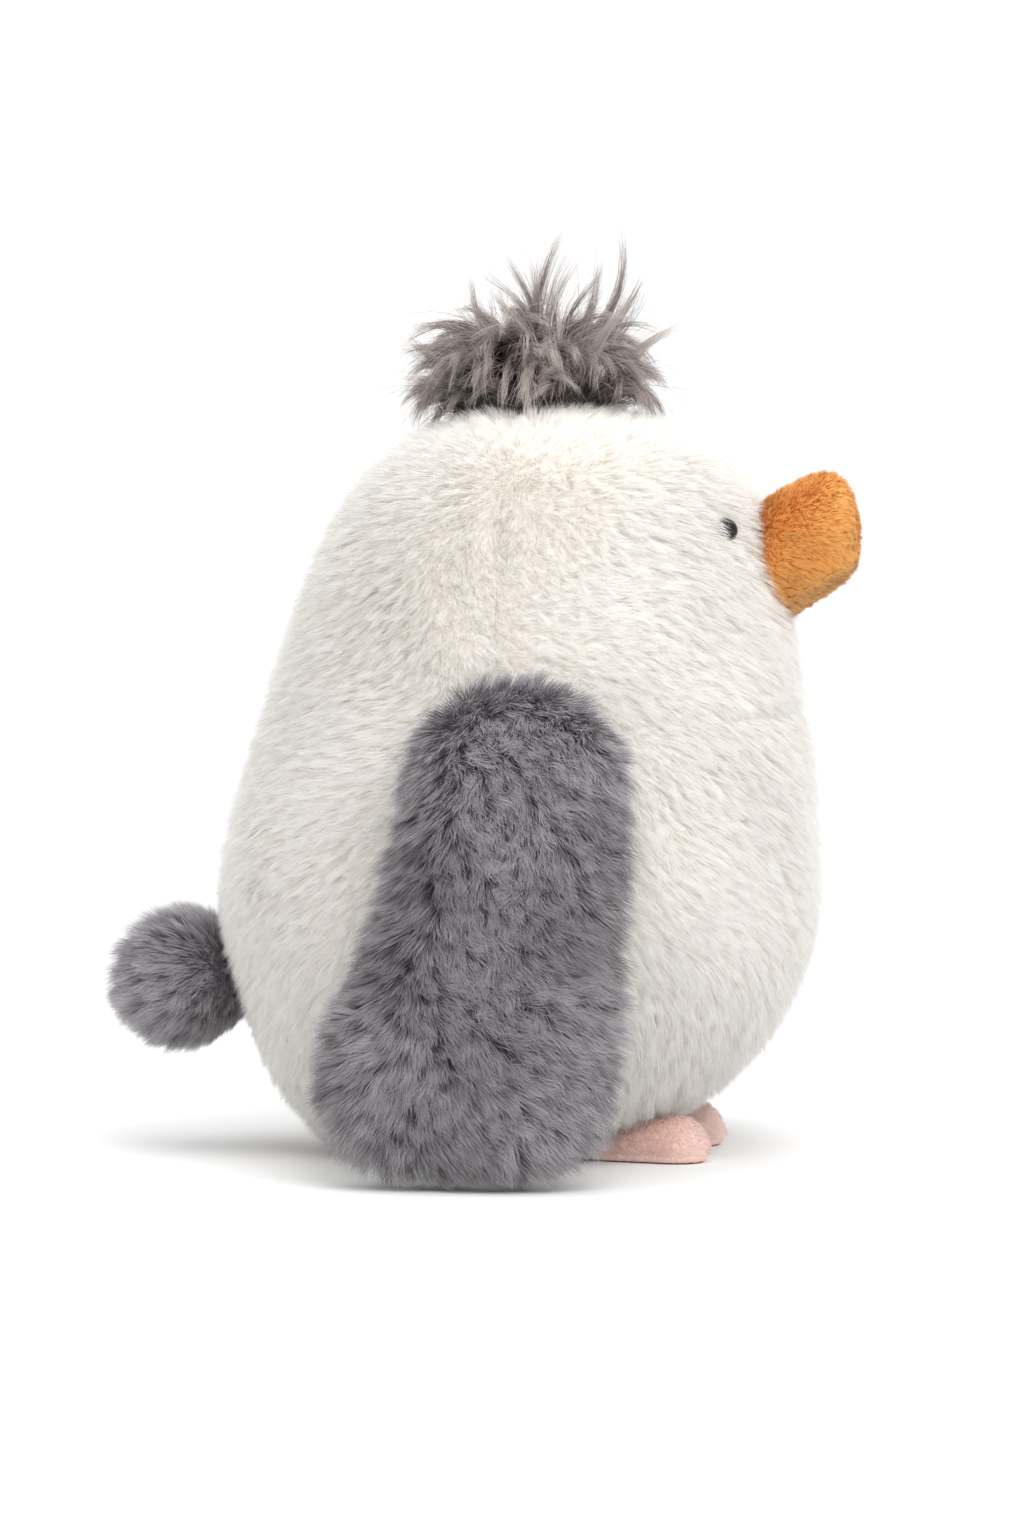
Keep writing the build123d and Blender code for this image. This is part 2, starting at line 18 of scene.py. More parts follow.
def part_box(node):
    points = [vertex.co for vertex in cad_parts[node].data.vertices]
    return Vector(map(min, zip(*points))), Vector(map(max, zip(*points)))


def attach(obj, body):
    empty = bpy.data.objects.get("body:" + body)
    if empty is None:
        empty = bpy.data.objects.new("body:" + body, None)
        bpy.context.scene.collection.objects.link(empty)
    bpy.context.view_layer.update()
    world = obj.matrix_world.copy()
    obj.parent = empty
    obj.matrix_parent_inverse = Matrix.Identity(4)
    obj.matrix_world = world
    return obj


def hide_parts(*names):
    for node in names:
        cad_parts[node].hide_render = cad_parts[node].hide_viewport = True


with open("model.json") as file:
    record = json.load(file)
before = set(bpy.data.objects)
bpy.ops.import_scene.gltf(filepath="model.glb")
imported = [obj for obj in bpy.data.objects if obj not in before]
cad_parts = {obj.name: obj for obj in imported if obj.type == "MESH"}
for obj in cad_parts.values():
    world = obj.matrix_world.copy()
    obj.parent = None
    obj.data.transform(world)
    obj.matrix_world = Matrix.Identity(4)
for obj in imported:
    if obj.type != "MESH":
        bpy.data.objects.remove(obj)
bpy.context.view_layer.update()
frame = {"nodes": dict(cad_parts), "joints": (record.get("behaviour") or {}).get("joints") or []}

MM = 0.001
UV_MAP = "OFBake"  # across a strand's tone, then from its root to its tip
SIDES = (("left", 1), ("right", -1))

# ---- Sizes ---------------------------------------------------------------------------------------
FLOOR_CLEAR = 0.4 * MM  # pile never reaches lower than this
FLOOR_RADIUS = 8.0
FLOOR_FADE = 4.0
# the floor's albedo from its middle out to FLOOR_FADE: greyer where the lamps add to the white
FLOOR_TONES = ((0.0, 0.82), (0.075, 0.84), (0.25, 0.89), (0.5, 0.93), (1.0, 0.95))
SKIN_THICK = 1.2 * MM
SEAM_DEPTH = 1.0 * MM
SEAM_REACH = 5.0 * MM
DIMPLE_DEPTH = 1.2 * MM  # how far the stuffing lets the body's skin sink in between seams
UNDERSIDE = 3 * MM  # the body's pile is pressed short below this height
EYE_CROP = 9 * MM  # the pile is cropped within this distance of an eye's middle
EYE_BARE = 2.8 * MM
# how many squares a wrapped skin has along each side of its cube
BODY_ROWS, BEAK_ROWS, FOOT_ROWS, MOUND_ROWS = 72, 40, 32, 24
CLOTH_PRESSURE = 4.0
CLOTH_FRAMES = 20

STRANDS_PER_MESH = 40000
ROOT_DEPTH = 0.4 * MM
STRAND_JITTER = 0.1 * MM
PILE_TAPER = (1.0, 0.95, 0.62)  # a strand's width at each level below its tip
SURFACE_SHADE = 0.9  # how much a strand is shaded like the surface below it,
STRAND_SHADE = 0.4  # and how much like itself
TAIL_PAINTED_LIGHT = 0.4  # painted light: added to the tone of the tail's pile, to make it look lit

LOCK_FORKS = 3
LOCK_STRETCH = 1.08  # how far the hair reaches past its CAD lock
MAIN_STRANDS, FORK_STRANDS = 170, 80
MOP_SHEAVES = 170
MOP_STRANDS, MOP_STRANDS_QUICK = 84, 18
HAIR_WIDTH = 0.2 * MM
SHADE_LEVEL = 4  # the point along a hair that gives its shading

STITCH_PITCH = 3.4 * MM  # along the beak's seam
STITCH_LENGTH = 1.9 * MM
STITCH_WIDTH = 0.8 * MM
STITCH_LIFT = 1.1 * MM
STITCH_ROOT_GAP = 3 * MM
LAMP_AIM = Vector((0, 0, 0.1))


# ---- Materials -----------------------------------------------------------------------------------
def srgb(red, green, blue):
    """A colour given as it is seen, from 0 to 255, in the linear values that shaders use."""
    channels = [c / 255 for c in (red, green, blue)]
    linear = [c / 12.92 if c <= 0.04045 else ((c + 0.055) / 1.055) ** 2.4 for c in channels]
    return (*linear, 1.0)


def new_material(name):
    """A node material, its nodes and links, and its Principled shader."""
    material = bpy.data.materials.new(name)
    material.use_nodes = True
    nodes, links = material.node_tree.nodes, material.node_tree.links
    return material, nodes, links, nodes["Principled BSDF"]


def ramp(nodes, stops):
    """A colour ramp through (position, colour) stops."""
    node = nodes.new("ShaderNodeValToRGB")
    elements = node.color_ramp.elements
    while len(elements) < len(stops):
        elements.new(0.5)
    for element, (position, colour) in zip(elements, stops):
        element.position = position
        element.color = colour
    return node


def pile_material(name, root, middle, tip, dark, light, glow, roughness=0.85, sheen=0.15):
    """Fibres: darker at the root, each with its own tone. Both are read from the strands' map, and
    glow is the share of light that passes through them."""
    material, nodes, links, shader = new_material(name)
    place = nodes.new("ShaderNodeUVMap")
    place.uv_map = UV_MAP
    split = nodes.new("ShaderNodeSeparateXYZ")
    links.new(place.outputs["UV"], split.inputs["Vector"])
    along = ramp(nodes, ((0.0, root), (0.45, middle), (1.0, tip)))
    links.new(split.outputs["Y"], along.inputs["Fac"])
    tone = ramp(nodes, [(0.0, (dark,) * 3 + (1,)), (0.5, (1,) * 4), (1.0, (light,) * 3 + (1,))])
    links.new(split.outputs["X"], tone.inputs["Fac"])
    mix = nodes.new("ShaderNodeMix")
    mix.data_type = "RGBA"
    mix.blend_type = "MULTIPLY"
    mix.inputs["Factor"].default_value = 1.0
    links.new(along.outputs["Color"], mix.inputs["A"])
    links.new(tone.outputs["Color"], mix.inputs["B"])
    links.new(mix.outputs["Result"], shader.inputs["Base Color"])
    shader.inputs["Roughness"].default_value = roughness
    shader.inputs["Specular IOR Level"].default_value = 0.25
    shader.inputs["Sheen Weight"].default_value = sheen
    shader.inputs["Sheen Roughness"].default_value = 0.5
    through = nodes.new("ShaderNodeBsdfTranslucent")
    links.new(mix.outputs["Result"], through.inputs["Color"])
    both = nodes.new("ShaderNodeMixShader")
    both.inputs["Fac"].default_value = glow
    links.new(shader.outputs["BSDF"], both.inputs[1])
    links.new(through.outputs["BSDF"], both.inputs[2])
    links.new(both.outputs["Shader"], nodes["Material Output"].inputs["Surface"])
    return material


def cloth_material(name, dark, light, scale, bump):
    """A knitted backing cloth: rows of loops with uneven colour."""
    material, nodes, links, shader = new_material(name)
    place = nodes.new("ShaderNodeTexCoord")
    loops = nodes.new("ShaderNodeTexVoronoi")
    loops.inputs["Scale"].default_value = scale
    links.new(place.outputs["Object"], loops.inputs["Vector"])
    patches = nodes.new("ShaderNodeTexNoise")
    patches.inputs["Scale"].default_value = scale / 12
    patches.inputs["Detail"].default_value = 6
    links.new(place.outputs["Object"], patches.inputs["Vector"])
    blend = nodes.new("ShaderNodeMath")
    blend.operation = "MULTIPLY"
    links.new(loops.outputs["Distance"], blend.inputs[0])
    links.new(patches.outputs["Fac"], blend.inputs[1])
    colours = ramp(nodes, ((0.0, light), (0.6, dark)))
    links.new(blend.outputs["Value"], colours.inputs["Fac"])
    links.new(colours.outputs["Color"], shader.inputs["Base Color"])
    shader.inputs["Roughness"].default_value = 0.95
    height = nodes.new("ShaderNodeBump")
    height.inputs["Strength"].default_value = bump
    height.inputs["Distance"].default_value = 0.3 * MM
    links.new(loops.outputs["Distance"], height.inputs["Height"])
    links.new(height.outputs["Normal"], shader.inputs["Normal"])
    return material


def plastic_material(name, colour, speck, roughness, gloss):
    """Moulded plastic with faint flow marks."""
    material, nodes, links, shader = new_material(name)
    place = nodes.new("ShaderNodeTexCoord")
    marks = nodes.new("ShaderNodeTexNoise")
    marks.inputs["Scale"].default_value = 350
    marks.inputs["Detail"].default_value = 5
    links.new(place.outputs["Object"], marks.inputs["Vector"])
    colours = ramp(nodes, ((0.35, colour), (0.75, speck)))
    links.new(marks.outputs["Fac"], colours.inputs["Fac"])
    links.new(colours.outputs["Color"], shader.inputs["Base Color"])
    shader.inputs["Roughness"].default_value = roughness
    shader.inputs["Specular IOR Level"].default_value = gloss
    return material


WHITE_PILE = pile_material(
    "white pile", srgb(246, 243, 239), srgb(254, 252, 249), srgb(255, 255, 254), 0.97, 1.02,
    glow=0.6,
)
GREY_PILE = pile_material(
    "grey pile", srgb(114, 111, 116), srgb(134, 131, 136), srgb(204, 200, 203), 0.72, 1.24, glow=0.4
)
HAIR = pile_material(
    "long hair", srgb(52, 46, 44), srgb(150, 137, 132), srgb(206, 195, 190), 0.55, 1.3, glow=0.3,
    roughness=0.5, sheen=0.1,
)
ORANGE_PILE = pile_material(
    "orange pile", srgb(214, 142, 62), srgb(232, 168, 88), srgb(246, 194, 120), 0.9, 1.05, glow=0.3
)
PALE_ORANGE_PILE = pile_material(
    "pale orange pile", srgb(176, 118, 60), srgb(212, 156, 94), srgb(232, 188, 130), 0.84, 1.06,
    glow=0.25,
)
PINK_PILE = pile_material(
    "pink pile", srgb(242, 214, 204), srgb(250, 230, 222), srgb(255, 240, 234), 0.94, 1.03, glow=0.4
)
WHITE_CLOTH = cloth_material("white backing", srgb(214, 206, 196), srgb(240, 236, 228), 900, 0.5)
GREY_CLOTH = cloth_material("grey backing", srgb(74, 72, 76), srgb(108, 105, 110), 900, 0.5)
HAIR_CLOTH = cloth_material("hair backing", srgb(34, 30, 29), srgb(60, 54, 52), 900, 0.5)
ORANGE_CLOTH = cloth_material("orange backing", srgb(190, 104, 36), srgb(232, 146, 66), 1400, 0.5)
PALE_ORANGE_CLOTH = cloth_material(
    "pale orange backing", srgb(176, 112, 52), srgb(220, 156, 90), 1400, 0.5
)
PINK_CLOTH = cloth_material("pink backing", srgb(222, 184, 172), srgb(240, 208, 198), 1400, 0.5)
FIBRE = cloth_material("fibre filling", srgb(206, 206, 204), srgb(246, 246, 244), 160, 1.0)
LINER = cloth_material("pouch cloth", srgb(196, 192, 184), srgb(226, 222, 214), 1200, 0.6)
PELLETS = cloth_material("pellets", srgb(150, 150, 148), srgb(228, 228, 226), 330, 1.0)
WASHER = plastic_material("washer plastic", srgb(222, 221, 216), srgb(236, 235, 231), 0.45, 0.5)
EYE_BLACK = plastic_material("eye black", srgb(6, 6, 7), srgb(14, 13, 13), 0.15, 0.25)
THREAD = cloth_material("sewing thread", srgb(204, 198, 188), srgb(236, 232, 224), 2600, 0.8)
DARK_THREAD = cloth_material("dark thread", srgb(108, 62, 26), srgb(150, 92, 44), 2600, 0.8)


# ---- Mesh helpers --------------------------------------------------------------------------------
def corners_of(meshes):
    """(points, triangles) of several meshes as one, as arrays."""
    points, triangles, first = [], [], 0
    for mesh in meshes:
        mesh.calc_loop_triangles()
        co = np.empty(len(mesh.vertices) * 3)
        mesh.vertices.foreach_get("co", co)
        tri = np.empty(len(mesh.loop_triangles) * 3, dtype=np.int32)
        mesh.loop_triangles.foreach_get("vertices", tri)
        points.append(co.reshape(-1, 3))
        triangles.append(tri.reshape(-1, 3) + first)
        first += len(mesh.vertices)
    return np.concatenate(points), np.concatenate(triangles)


def tree_of(meshes):
    """A tree of these meshes' surfaces, to cast rays at."""
    points, triangles = corners_of(meshes)
    return BVHTree.FromPolygons(points.tolist(), triangles.tolist())


def points_of(data):
    """The vertices of a mesh, as an array."""
    co = np.empty(len(data.vertices) * 3)
    data.vertices.foreach_get("co", co)
    return co.reshape(-1, 3)


def normals_of(data):
    """The smoothed normals at a mesh's vertices, as an array."""
    normals = np.empty(len(data.vertices) * 3)
    data.vertices.foreach_get("normal", normals)
    return normals.reshape(-1, 3)


def node_meshes(*names):
    """The meshes of these CAD nodes."""
    return [frame["nodes"][name].data for name in names]


def middle_of(*names):
    """The middle of the box round these CAD nodes."""
    boxes = [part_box(name) for name in names]
    low = np.min([box[0] for box in boxes], axis=0)
    high = np.max([box[1] for box in boxes], axis=0)
    return Vector((low + high) / 2)


def new_object(name, mesh, material, body, slot, *nodes):
    """Puts a mesh in the scene as a piece that rides on body and stands for these CAD nodes."""
    piece = bpy.data.objects.new(name, mesh)
    bpy.context.scene.collection.objects.link(piece)
    mesh.materials.clear()
    mesh.materials.append(material)
    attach(piece, body)
    if nodes:
        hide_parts(*nodes)
    return piece


def wrapped(names, rows):
    """An evenly meshed copy of the outside of these CAD nodes together, as a bmesh of quads: a
    ball's grid, with each point moved in to the first surface that it meets."""
    tree = tree_of(node_meshes(*names))
    middle = middle_of(*names)
    mesh = bmesh.new()
    bmesh.ops.create_cube(mesh, size=2)
    bmesh.ops.subdivide_edges(mesh, edges=mesh.edges, cuts=rows - 1, use_grid_fill=True)
    for vertex in mesh.verts:
        even = Vector([math.tan(c * math.pi / 4) for c in vertex.co]).normalized()
        hit = tree.ray_cast(middle + even, -even)[0]
        vertex.co = hit or middle
    bmesh.ops.recalc_face_normals(mesh, faces=mesh.faces)
    return mesh


def cut(mesh, point, normal, keep_front):
    """A copy of the mesh with one side of a plane cut away."""
    part = mesh.copy()
    bmesh.ops.bisect_plane(
        part,
        geom=part.verts[:] + part.edges[:] + part.faces[:],
        plane_co=point,
        plane_no=normal,
        clear_inner=keep_front,
        clear_outer=not keep_front,
    )
    return part


def as_mesh(mesh, name):
    """A bmesh as a smooth mesh of its own."""
    data = bpy.data.meshes.new(name)
    mesh.to_mesh(data)
    data.shade_smooth()
    return data


def skin(name, mesh, material, body, slot, nodes):
    """A sewn panel of a stuffed piece, thick as its backing cloth."""
    data = as_mesh(mesh, name)
    piece = new_object(name, data, material, body, slot, *nodes)
    wall = piece.modifiers.new("Backing", "SOLIDIFY")
    wall.thickness = SKIN_THICK
    wall.offset = -1
    return piece


# ---- Pile ----------------------------------------------------------------------------------------
def unit(vectors):
    """Each vector at length 1."""
    return vectors / np.maximum(np.linalg.norm(vectors, axis=-1, keepdims=True), 1e-12)


def flat_to(vectors, normals):
    """The part of each vector along the surface, at length 1."""
    return unit(vectors - (vectors * normals).sum(-1, keepdims=True) * normals)


def turned(vectors, axes, angles):
    """Each vector turned about its own axis, which is square to it."""
    return vectors * np.cos(angles)[:, None] + np.cross(axes, vectors) * np.sin(angles)[:, None]


def wander(points, wave, seed, waves=7):
    """A smooth field from -1 to 1 over space, with features about one wave across."""
    rng = np.random.default_rng(seed)
    value = np.zeros(len(points))
    for _ in range(waves):
        direction = unit(rng.normal(size=3)) * 2 * math.pi / (wave * rng.uniform(0.7, 1.6))
        value += np.sin(points @ direction + rng.uniform(0, 2 * math.pi))
    return value / math.sqrt(waves / 2) / 1.8


def swirl_of(points, wave, seed):
    """A loose swirl, up and down and to and fro along the body."""
    sway, rise = wander(points, wave, seed), wander(points, wave, seed + 1)
    return np.stack([np.zeros(len(points)), sway, rise], 1)


def scatter(data, count, rng):
    """count points spread at random over a mesh, with the smoothed normals there."""
    points, triangles = corners_of([data])
    normals = normals_of(data)
    a, b, c = (points[triangles[:, i]] for i in range(3))
    area = np.linalg.norm(np.cross(b - a, c - a), axis=1)
    pick = rng.choice(len(triangles), size=count, p=area / area.sum())
    u, v = rng.random(count), rng.random(count)
    over = u + v > 1
    u[over], v[over] = 1 - u[over], 1 - v[over]
    parts = np.stack([1 - u - v, u, v], 1)[:, :, None]
    corner = triangles[pick]
    return (points[corner] * parts).sum(1), unit((normals[corner] * parts).sum(1))


def area_of(data):
    """The area of a mesh, in square metres."""
    points, triangles = corners_of([data])
    a, b, c = (points[triangles[:, i]] for i in range(3))
    return np.linalg.norm(np.cross(b - a, c - a), axis=1).sum() / 2


def nearest(points, centres):
    """The index of each point's nearest centre."""
    tree = KDTree(len(centres))
    for i, centre in enumerate(centres.tolist()):
        tree.insert(centre, i)
    tree.balance()
    return np.array([tree.find(point)[1] for point in points.tolist()])


def ribbons(name, paths, normals, widths, tones, rng, twist=0.9):
    """A mesh of tapered strands. paths is (strand, level, 3), widths is (strand, level), with the
    tip at width 0 left out, and tones is from 0 to 1."""
    count, levels = paths.shape[:2]
    ways = unit(np.gradient(paths, axis=1))
    spin = rng.uniform(-twist, twist, count)
    facing = flat_to(np.repeat(normals[:, None], levels, 1), ways)
    across = np.cross(ways, facing)
    facing = facing * np.cos(spin)[:, None, None] + across * np.sin(spin)[:, None, None]
    across = np.cross(ways, facing)
    half = across[:, :-1] * widths[:, :, None] / 2
    left, right = paths[:, :-1] - half, paths[:, :-1] + half
    sides = np.stack([left, right], 2).reshape(count, -1, 3)
    points = np.concatenate([sides, paths[:, -1:]], 1)
    per = points.shape[1]
    quad = np.array([(2 * k, 2 * k + 1, 2 * k + 3, 2 * k + 2) for k in range(levels - 2)])
    loops = np.append(quad, [per - 3, per - 2, per - 1])
    totals = np.array([4] * (levels - 2) + [3])
    corner = (np.arange(count)[:, None] * per + loops[None]).reshape(-1)
    total = np.tile(totals, count)
    data = bpy.data.meshes.new(name)
    data.vertices.add(count * per)
    data.vertices.foreach_set("co", points.reshape(-1).astype(np.float32))
    data.loops.add(len(corner))
    data.loops.foreach_set("vertex_index", corner.astype(np.int32))
    data.polygons.add(len(total))
    data.polygons.foreach_set("loop_start", (np.cumsum(total) - total).astype(np.int32))
    height = np.linspace(0.02, 0.98, levels)
    v = np.append(np.repeat(height[:-1], 2), height[-1])
    shift = np.append(np.tile([-0.012, 0.012], levels - 1), 0.0)
    u = 0.03 + 0.94 * np.clip(tones, 0, 1)
    uv = np.stack([(u[:, None] + shift[None]), np.repeat(v[None], count, 0)], 2)
    layer = data.uv_layers.new(name=UV_MAP)
    layer.uv.foreach_set("vector", uv.reshape(-1, 2)[corner].reshape(-1).astype(np.float32))
    data.update(calc_edges=True)
    data.validate()
    lit = unit(np.repeat(normals[:, None], levels, 1) * SURFACE_SHADE + facing * STRAND_SHADE)
    lit = np.concatenate([np.repeat(lit[:, :-1], 2, 1), lit[:, -1:]], 1)
    data.normals_split_custom_set_from_vertices(lit.reshape(-1, 3))
    return data


def pile(
    name,
    data,
    material,
    body,
    slot,
    seed,
    flow,
    length,
    density,
    width,
    clump,
    pull,
    lift,
    lay,
    stray,
    levels=4,
    shorter=None,
    tone_wave=45 * MM,
    tone_depth=0.22,
    tone_at=None,
):
    """Covers a skin in combed pile. flow gives the nap's direction at each root; lift and lay are
    the degrees that a strand leans at its root and its tip; density is in strands to the square
    millimetre; shorter gives each root's share of the length, and tone_at makes it lighter or
    darker in places."""
    rng = np.random.default_rng(seed)
    area = area_of(data)
    count = int(area / MM**2 * density)
    roots, normals = scatter(data, count, rng)
    if shorter is not None:
        share = shorter(roots)
        stays = share > 0.05
        roots, normals, share = roots[stays], normals[stays], share[stays]
        count = len(roots)
    else:
        share = np.ones(count)
    centres, centre_normals = scatter(data, max(8, int(area / clump**2)), rng)
    owner = nearest(roots, centres)
    number = len(centres)
    swirl = rng.normal(0, math.radians(stray), number)
    naps = turned(flat_to(flow(centres), centre_normals), centre_normals, swirl)
    reach = length * rng.uniform(0.82, 1.15, number)
    leans = rng.normal(0, 7, number)
    curls = rng.normal(0, math.radians(10), number)
    tones = 0.5 + tone_depth * wander(centres, tone_wave, seed + 1)
    tones = tones + rng.normal(0, 0.10, number)
    if tone_at is not None:
        tones += tone_at(centres)

    own_nap = flat_to(naps[owner], normals)
    own_nap = turned(own_nap, normals, rng.normal(0, math.radians(14), count))
    size = reach[owner] * share * rng.uniform(0.8, 1.08, count)
    steps = np.linspace(0, 1, levels)

    def paths_from(start, normal, nap, size, lean, curl):
        """Points of strands that lean over as they grow."""
        path = [start - normal * ROOT_DEPTH]
        for low, high in zip(steps[:-1], steps[1:]):
            at = (low + high) / 2
            angle = np.radians(np.clip(lift + (lay - lift) * at**0.7 + lean * at, 2, 86))
            side = turned(nap, normal, curl * at)
            way = normal * np.cos(angle)[:, None] + side * np.sin(angle)[:, None]
            path.append(path[-1] + way * (size * (high - low))[:, None])
        return np.stack(path, 1)

    own_lean = leans[owner] + rng.normal(0, 5, count)
    own = paths_from(roots, normals, own_nap, size, own_lean, curls[owner])
    lock = paths_from(centres, centre_normals, naps, reach, leans, curls)[owner]
    lock = lock[:, :1] + (lock - lock[:, :1]) * share[:, None, None]
    grip = (pull * rng.uniform(0.55, 1.0, count))[:, None] * steps[None] ** 1.2
    paths = own * (1 - grip[:, :, None]) + lock * grip[:, :, None]
    paths[:, 1:] += rng.normal(0, STRAND_JITTER, (count, levels - 1, 3))
    paths[:, :, 2] = np.maximum(paths[:, :, 2], FLOOR_CLEAR)
    widths = width * rng.uniform(0.7, 1.25, count)[:, None] * np.array(PILE_TAPER[: levels - 1])
    tone = tones[owner] + rng.normal(0, 0.13, count)

    for part, first in enumerate(range(0, count, STRANDS_PER_MESH)):
        some = slice(first, first + STRANDS_PER_MESH)
        label = f"{name}_{part + 1}"
        mesh = ribbons(label, paths[some], normals[some], widths[some], tone[some], rng)
        new_object(label, mesh, material, body, slot)


# ---- Body ----------------------------------------------------------------------------------------
BODY_PANELS = ("back_panel_left", "back_panel_right", "face_panel", "belly_panel", "base_panel")
side_seam_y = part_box("face_panel")[1][1]
base_seam_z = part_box("base_panel")[1][2]
face_front_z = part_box("face_panel")[0][2]
crown_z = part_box("back_panel_left")[1][2]


def face_seam_plane():
    """A point on the plane of the seam under the face, and the plane's upward normal. The seam's
    two ends are where the face panel is lowest, at the sides, and the belly panel is highest, at
    the front."""
    low, high = face_front_z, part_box("belly_panel")[1][2]
    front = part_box("belly_panel")[0][1]
    rise = (high - low) / (side_seam_y - front)
    normal = Vector((0, rise, 1)).normalized()
    return Vector((0, side_seam_y, low)), normal


seam_point, seam_normal = face_seam_plane()
body_grid = wrapped(BODY_PANELS, BODY_ROWS)
body_grid.normal_update()


def seam_distances(points):
    """Each point's distance to its nearest seam on the body."""
    side = np.abs(points[:, 1] - side_seam_y)
    under = np.abs((points - np.array(seam_point)) @ np.array(seam_normal))
    under = np.where(points[:, 1] < side_seam_y, under, 1.0)
    centre = np.where(points[:, 1] > side_seam_y, np.abs(points[:, 0]), 1.0)
    base = np.abs(points[:, 2] - base_seam_z)
    side = np.where(points[:, 2] > base_seam_z, side, 1.0)
    return np.minimum.reduce([side, under, centre, base])


def sink_seams(mesh):
    """Draws the body's bmesh in along its seams, and lets it dimple softly in between."""
    points = np.array([vertex.co for vertex in mesh.verts])
    depth = SEAM_DEPTH * np.exp(-((seam_distances(points) / (SEAM_REACH / 2)) ** 2))
    depth += DIMPLE_DEPTH * (1 + wander(points, 38 * MM, 11)) / 2
    for vertex, sink, point in zip(mesh.verts, depth, points):
        if point[2] > base_seam_z:
            vertex.co = vertex.co - vertex.normal * sink
    mesh.normal_update()


sink_seams(body_grid)
front_half = cut(body_grid, (0, side_seam_y, 0), (0, 1, 0), False)
back_half = cut(body_grid, (0, side_seam_y, 0), (0, 1, 0), True)
back_above = cut(back_half, (0, 0, base_seam_z), (0, 0, 1), True)
BODY_SKINS = {
    "face_panel": cut(front_half, seam_point, seam_normal, True),
    "belly_panel": cut(
        cut(front_half, seam_point, seam_normal, False), (0, 0, base_seam_z), (0, 0, 1), True
    ),
    "back_panel_left": cut(back_above, (0, 0, 0), (1, 0, 0), True),
    "back_panel_right": cut(back_above, (0, 0, 0), (1, 0, 0), False),
    "base_panel": cut(body_grid, (0, 0, base_seam_z), (0, 0, 1), False),
}
eye_spots = {side: np.array(middle_of(f"eye_{side}")) for side, _ in SIDES}
tuft_low, tuft_high = (np.array(corner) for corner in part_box("tuft_patch"))
tuft_spot = (tuft_low + tuft_high) / 2


def body_share(points):
    """How long the body's pile is at each point: shorter along seams and on the underside, cropped
    round the eyes, and none at an eye or under the tuft."""
    share = 0.86 + 0.14 * np.clip(seam_distances(points) / SEAM_REACH, 0, 1)
    for spot in eye_spots.values():
        away = np.linalg.norm(points - spot, axis=1)
        share = np.minimum(share, np.clip(away / EYE_CROP, 0.85, 1))
        share[away < EYE_BARE] = 0
    off = (points - tuft_spot) / ((tuft_high - tuft_low) / 2 + 1e-9)
    under_tuft = (np.hypot(off[:, 0], off[:, 1]) < 0.86) & (points[:, 2] > tuft_low[2] - 5 * MM)
    share[under_tuft] = 0
    share[points[:, 2] < UNDERSIDE] = 0.35
    return share


def from_tuft(points):
    """Outwards from the tuft, only near the crown."""
    near = np.clip((points[:, 2] - crown_z + 25 * MM) / (15 * MM), 0, 1)
    return unit(points - tuft_spot) * 2.2 * near[:, None]


def face_flow(points):
    """Down and forward, fanned away from the eyes, with a loose swirl."""
    flow = np.zeros_like(points)
    flow[:, 1] = -0.75
    flow[:, 2] = -0.8
    flow += 0.45 * swirl_of(points, 60 * MM, 21)
    for spot in eye_spots.values():
        away = points - spot
        near = np.exp(-((np.linalg.norm(away, axis=1) / (11 * MM)) ** 2))
        flow += unit(away) * 0.25 * near[:, None]
    return flow + from_tuft(points)


def belly_flow(points):
    """Forward and down under the face, straight down below."""
    height = np.clip((points[:, 2] - 0.05) / 0.07, 0, 1)
    flow = np.zeros_like(points)
    flow[:, 1] = -0.65 * height
    flow[:, 2] = -1
    return flow + 0.4 * swirl_of(points, 60 * MM, 31)


def back_flow(points):
    """Down and back, swirled as by a hand brushed over it."""
    flow = np.zeros_like(points)
    flow[:, 1] = 0.35
    flow[:, 2] = -0.8
    flow += 0.75 * swirl_of(points, 55 * MM, 41)
    return flow + from_tuft(points)


def base_flow(points):
    """Outwards from the middle of the underside."""
    flow = points.copy()
    flow[:, 2] = 0
    return flow


BODY_FLOWS = {
    "face_panel": face_flow,
    "belly_panel": belly_flow,
    "back_panel_left": back_flow,
    "back_panel_right": back_flow,
    "base_panel": base_flow,
}
for number, (panel, grid) in enumerate(BODY_SKINS.items()):
    seed = 100 + 10 * number
    piece = skin(f"{panel}_skin", grid, WHITE_CLOTH, "body", "white_plush", [panel])
    pile(
        f"{panel}_pile", piece.data, WHITE_PILE, "body", "white_plush", seed, BODY_FLOWS[panel],
        length=8.2 * MM, density=4.8, width=0.17 * MM, clump=1.9 * MM, pull=0.26, lift=22,
        lay=52, stray=14, shorter=body_share,
    )


